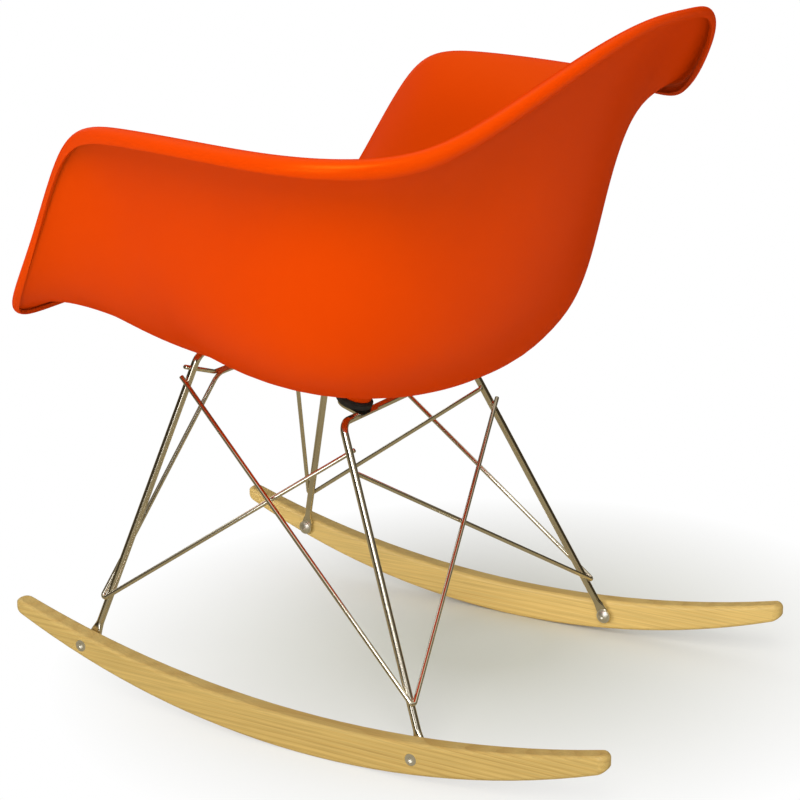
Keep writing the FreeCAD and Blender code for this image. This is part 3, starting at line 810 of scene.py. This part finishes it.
rubber = material(
    "rubber",
    {"Specular IOR Level": 0.3},
    {
        "Patches per metre": 90.0,
        "First colour": (0.016, 0.015, 0.014, 1),
        "Second colour": (0.028, 0.026, 0.024, 1),
        "Least roughness": 0.55,
        "Most roughness": 0.75,
    },
    {"Grains per metre": 1800.0, "Height": 0.00012, "Strength": 0.4},
)


def worked_out(tree, kind, first, second):
    """A maths node of two values, each a socket or a number."""
    made = put(tree, "ShaderNodeMath", operation=kind)
    for place, value in enumerate((first, second)):
        if isinstance(value, (int, float)):
            made.inputs[place].default_value = value
        else:
            tree.links.new(value, made.inputs[place])
    return made.outputs["Value"]


def ramp(tree, stops):
    """A colour ramp with the given places and colours."""
    made = put(tree, "ShaderNodeValToRGB")
    for _ in stops[2:]:
        made.color_ramp.elements.new(0.5)
    for element, (place, colour) in zip(made.color_ramp.elements, stops):
        element.position = place
        element.color = colour
    return made


WOOD_STOPS = (
    (0.12, rgba(192, 152, 80)),
    (0.34, rgba(204, 168, 94)),
    (0.52, rgba(212, 179, 105)),
    (0.72, rgba(207, 172, 98)),
    (0.92, rgba(217, 187, 116)),
)


def wood_material():
    """Pale wood: growth bands drawn out along the runner, fine pores and a thin matt varnish."""
    made = bpy.data.materials.new("wood")
    made.use_nodes = True
    tree = made.node_tree
    shader = tree.nodes["Principled BSDF"]
    shader.inputs["Specular IOR Level"].default_value = 0.35
    shader.inputs["Coat Weight"].default_value = 0.12
    shader.inputs["Coat Roughness"].default_value = 0.35
    where = put(tree, "ShaderNodeTexCoord")
    long_way = put(tree, "ShaderNodeMapping", {"Scale": (1, 0.06, 1)})
    fine_way = put(tree, "ShaderNodeMapping", {"Scale": (1, 0.012, 1)})
    for stretched in (long_way, fine_way):
        tree.links.new(where.outputs["Object"], stretched.inputs["Vector"])
    bands = put(
        tree,
        "ShaderNodeTexWave",
        {"Scale": 62.0, "Distortion": 9.0, "Detail": 2.0, "Detail Scale": 0.4, "Phase Offset": 1.7},
        wave_type="BANDS",
        bands_direction="Z",
        wave_profile="SAW",
    )
    tree.links.new(long_way.outputs["Vector"], bands.inputs["Vector"])
    slow = put(tree, "ShaderNodeTexNoise", {"Scale": 28.0, "Detail": 3.0, "Roughness": 0.5})
    tree.links.new(long_way.outputs["Vector"], slow.inputs["Vector"])
    pores = put(tree, "ShaderNodeTexNoise", {"Scale": 1100.0, "Detail": 2.0, "Roughness": 0.7})
    tree.links.new(fine_way.outputs["Vector"], pores.inputs["Vector"])
    banded = worked_out(tree, "MULTIPLY", bands.outputs["Fac"], 0.45)
    clouded = worked_out(tree, "MULTIPLY", slow.outputs["Fac"], 0.55)
    mixed = worked_out(tree, "ADD", banded, clouded)
    colours = ramp(tree, WOOD_STOPS)
    tree.links.new(mixed, colours.inputs["Fac"])
    pore_range = put(tree, "ShaderNodeMapRange", dict(zip(RANGE_ENDS, (0.36, 0.6, 0.85, 1.02))))
    tree.links.new(pores.outputs["Fac"], pore_range.inputs["Value"])
    darker = put(tree, "ShaderNodeMix", {"Factor": 1.0}, data_type="RGBA", blend_type="MULTIPLY")
    tree.links.new(colours.outputs["Color"], darker.inputs["A"])
    tree.links.new(pore_range.outputs["Result"], darker.inputs["B"])
    tree.links.new(darker.outputs["Result"], shader.inputs["Base Color"])
    rough = put(tree, "ShaderNodeMapRange", {"To Min": 0.42, "To Max": 0.58})
    tree.links.new(slow.outputs["Fac"], rough.inputs["Value"])
    tree.links.new(rough.outputs["Result"], shader.inputs["Roughness"])
    bump = put(tree, "ShaderNodeBump", {"Strength": 0.25, "Distance": 0.0001})
    tree.links.new(pores.outputs["Fac"], bump.inputs["Height"])
    tree.links.new(bump.outputs["Normal"], shader.inputs["Normal"])
    return made


wood = wood_material()

FINISHES = (
    ("seat_shell", plastic, "shell"),
    ("rocker", wood, "wood"),
    ("front_hoop", chrome, "chrome"),
    ("rear_hoop", chrome, "chrome"),
    ("strut", chrome, "chrome"),
    ("mount_tab", chrome, "chrome"),
    ("shock_mount", rubber, "rubber"),
    ("insert", brass, "brass"),
    ("foot", steel, "steel"),
    ("sleeve_nut", steel, "steel"),
    ("shell_screw", steel, "steel"),
)


def finish(made):
    """The named piece's material, and the slot listed for it in FINISHES."""
    surface, slot = next(rest for start, *rest in FINISHES if made.name.startswith(start))
    made.data.materials.clear()
    made.data.materials.append(surface)
    return slot


for node in nodes.values():
    finish(node)

new_pieces = [(shell, "seat_shell"), (boss_piece, "seat_shell")]
new_pieces += [(made, f"{end}_hoop") for end, made in hoops.items()]
new_pieces += [(made, name) for name, made in struts.items()]
new_pieces += [(made, f"rocker_{hand}") for hand, made in boards.items()]
for made, stands_for in new_pieces:
    slot = finish(made)
    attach(made, "root")
    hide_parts(stands_for)

# Camera

LENS_MM = 99.25
SENSOR_MM = 36
AZIMUTH = math.radians(120.12)
ELEVATION = math.radians(15.77)
DISTANCE = 2.1797
TARGET = Vector((0, -0.009, 0.2892))

camera_data = bpy.data.cameras.new("camera")
camera_data.lens = LENS_MM
camera_data.sensor_width = SENSOR_MM
camera_data.sensor_fit = "HORIZONTAL"
camera = bpy.data.objects.new("camera", camera_data)
level = math.cos(ELEVATION)
way = Vector((math.sin(AZIMUTH) * level, -math.cos(AZIMUTH) * level, math.sin(ELEVATION)))
camera.location = TARGET + way * DISTANCE
camera.rotation_euler = (-way).to_track_quat("-Z", "Y").to_euler()
bpy.context.scene.collection.objects.link(camera)
bpy.context.scene.camera = camera

# Floor: lit near the chair, so that its soft shadow shows, and plain white further out

FLOOR_HALF = 30
SHADOW_CENTRE = (-0.12, 0.03, 0)
SHADOW_HALF = (0.48, 0.42, 1)


def floor_sheet(build):
    bmesh.ops.create_grid(build, x_segments=1, y_segments=1, size=FLOOR_HALF)


def floor_paint():
    made = bpy.data.materials.new("floor_paint")
    made.use_nodes = True
    tree = made.node_tree
    tree.nodes.clear()
    output = put(tree, "ShaderNodeOutputMaterial")
    path = put(tree, "ShaderNodeLightPath")
    where = put(tree, "ShaderNodeTexCoord")
    lit = put(tree, "ShaderNodeBsdfDiffuse", {"Color": (0.80, 0.80, 0.71, 1)})
    white = put(tree, "ShaderNodeEmission", {"Color": (1, 1, 1, 1), "Strength": 1.0})
    place = {"Location": SHADOW_CENTRE, "Scale": SHADOW_HALF}
    oval = put(tree, "ShaderNodeMapping", place, vector_type="TEXTURE")
    distance = put(tree, "ShaderNodeVectorMath", operation="LENGTH")
    fade = put(tree, "ShaderNodeMapRange", {"From Min": 0.15, "From Max": 1.04})
    seen = put(tree, "ShaderNodeMath", operation="MULTIPLY")
    near_or_far = put(tree, "ShaderNodeMixShader")
    tree.links.new(where.outputs["Object"], oval.inputs["Vector"])
    tree.links.new(oval.outputs["Vector"], distance.inputs[0])
    tree.links.new(distance.outputs["Value"], fade.inputs["Value"])
    tree.links.new(fade.outputs["Result"], seen.inputs[0])
    tree.links.new(path.outputs["Is Camera Ray"], seen.inputs[1])
    tree.links.new(seen.outputs["Value"], near_or_far.inputs["Fac"])
    tree.links.new(lit.outputs["BSDF"], near_or_far.inputs[1])
    tree.links.new(white.outputs["Emission"], near_or_far.inputs[2])
    dim = put(tree, "ShaderNodeEmission", {"Color": (0.44, 0.37, 0.22, 1), "Strength": 0.8})
    mirrored = put(tree, "ShaderNodeMixShader")
    tree.links.new(path.outputs["Is Glossy Ray"], mirrored.inputs["Fac"])
    tree.links.new(near_or_far.outputs["Shader"], mirrored.inputs[1])
    tree.links.new(dim.outputs["Emission"], mirrored.inputs[2])
    tree.links.new(mirrored.outputs["Shader"], output.inputs["Surface"])
    return made


floor = linked("floor", floor_sheet)
floor.data.materials.append(floor_paint())

# World: white to the camera, a soft sky for the surfaces, and a darker room in the metal

SKY = 0.62
ROOM_STOPS = (
    (0.0, (0.035, 0.025, 0.013, 1)),
    (0.25, (0.05, 0.038, 0.022, 1)),
    (0.5, (0.22, 0.19, 0.14, 1)),
    (0.8, (0.80, 0.75, 0.60, 1)),
)


def studio_world():
    made = bpy.data.worlds.new("studio")
    made.use_nodes = True
    tree = made.node_tree
    tree.nodes.clear()
    output = put(tree, "ShaderNodeOutputWorld")
    path = put(tree, "ShaderNodeLightPath")
    where = put(tree, "ShaderNodeTexCoord")
    split = put(tree, "ShaderNodeSeparateXYZ")
    room = ramp(tree, ROOM_STOPS)
    soft = put(tree, "ShaderNodeBackground", {"Strength": SKY})
    sides = put(tree, "ShaderNodeMapRange", dict(zip(RANGE_ENDS, (-1.0, 1.0, 1.05, 0.45))))
    dark = put(tree, "ShaderNodeBackground", {"Strength": 1.0})
    white = put(tree, "ShaderNodeBackground", {"Color": (1, 1, 1, 1), "Strength": 1.0})
    metal = put(tree, "ShaderNodeMixShader")
    seen = put(tree, "ShaderNodeMixShader")
    tree.links.new(where.outputs["Generated"], split.inputs["Vector"])
    tree.links.new(split.outputs["Z"], room.inputs["Fac"])
    tree.links.new(split.outputs["Y"], sides.inputs["Value"])
    tree.links.new(sides.outputs["Result"], soft.inputs["Color"])
    tree.links.new(room.outputs["Color"], dark.inputs["Color"])
    tree.links.new(path.outputs["Is Glossy Ray"], metal.inputs["Fac"])
    tree.links.new(soft.outputs["Background"], metal.inputs[1])
    tree.links.new(dark.outputs["Background"], metal.inputs[2])
    tree.links.new(path.outputs["Is Camera Ray"], seen.inputs["Fac"])
    tree.links.new(metal.outputs["Shader"], seen.inputs[1])
    tree.links.new(white.outputs["Background"], seen.inputs[2])
    tree.links.new(seen.outputs["Shader"], output.inputs["Surface"])
    return made


bpy.context.scene.world = studio_world()


def area_light(name, location, aim, size, power):
    data = bpy.data.lights.new(name, "AREA")
    data.shape = "RECTANGLE"
    data.size, data.size_y = size
    data.energy = power
    made = bpy.data.objects.new(name, data)
    made.location = location
    made.rotation_euler = (Vector(aim) - Vector(location)).to_track_quat("-Z", "Y").to_euler()
    bpy.context.scene.collection.objects.link(made)
    return made


# Name, place, aim, size and watts
LAMPS = (
    ("top", (0.2, -0.1, 2.6), (0, 0, 0.3), (2.2, 2.2), 7),
    ("key", (3.15, 1.3, 3.0), (0, 0, 0.4), (1.7, 1.7), 84),
    ("side", (4.4, 1.0, 0.9), (0, 0, 0.3), (1.8, 1.4), 35),
    ("rear", (1.6, 2.4, 1.4), (0, 0, 0.4), (0.5, 1.6), 4),
    ("front", (-1.4, -3.2, 2.2), (0, 0, 0.4), (1.6, 1.6), 12),
    ("under_seat", (1.5, -0.7, 0.4), (-0.2, -0.1, 0.03), (0.8, 0.5), 14),
)
lamps = {name: area_light(name, *rest) for name, *rest in LAMPS}

# The shell keeps most light off the far runner, so one low lamp, which shines in under the seat
# from the camera's side, lights that piece alone.
far_board = bpy.data.collections.new("far_board")
far_board.objects.link(boards["right"])
lamps["under_seat"].light_linking.receiver_collection = far_board

bpy.context.scene.view_settings.view_transform = "Standard"
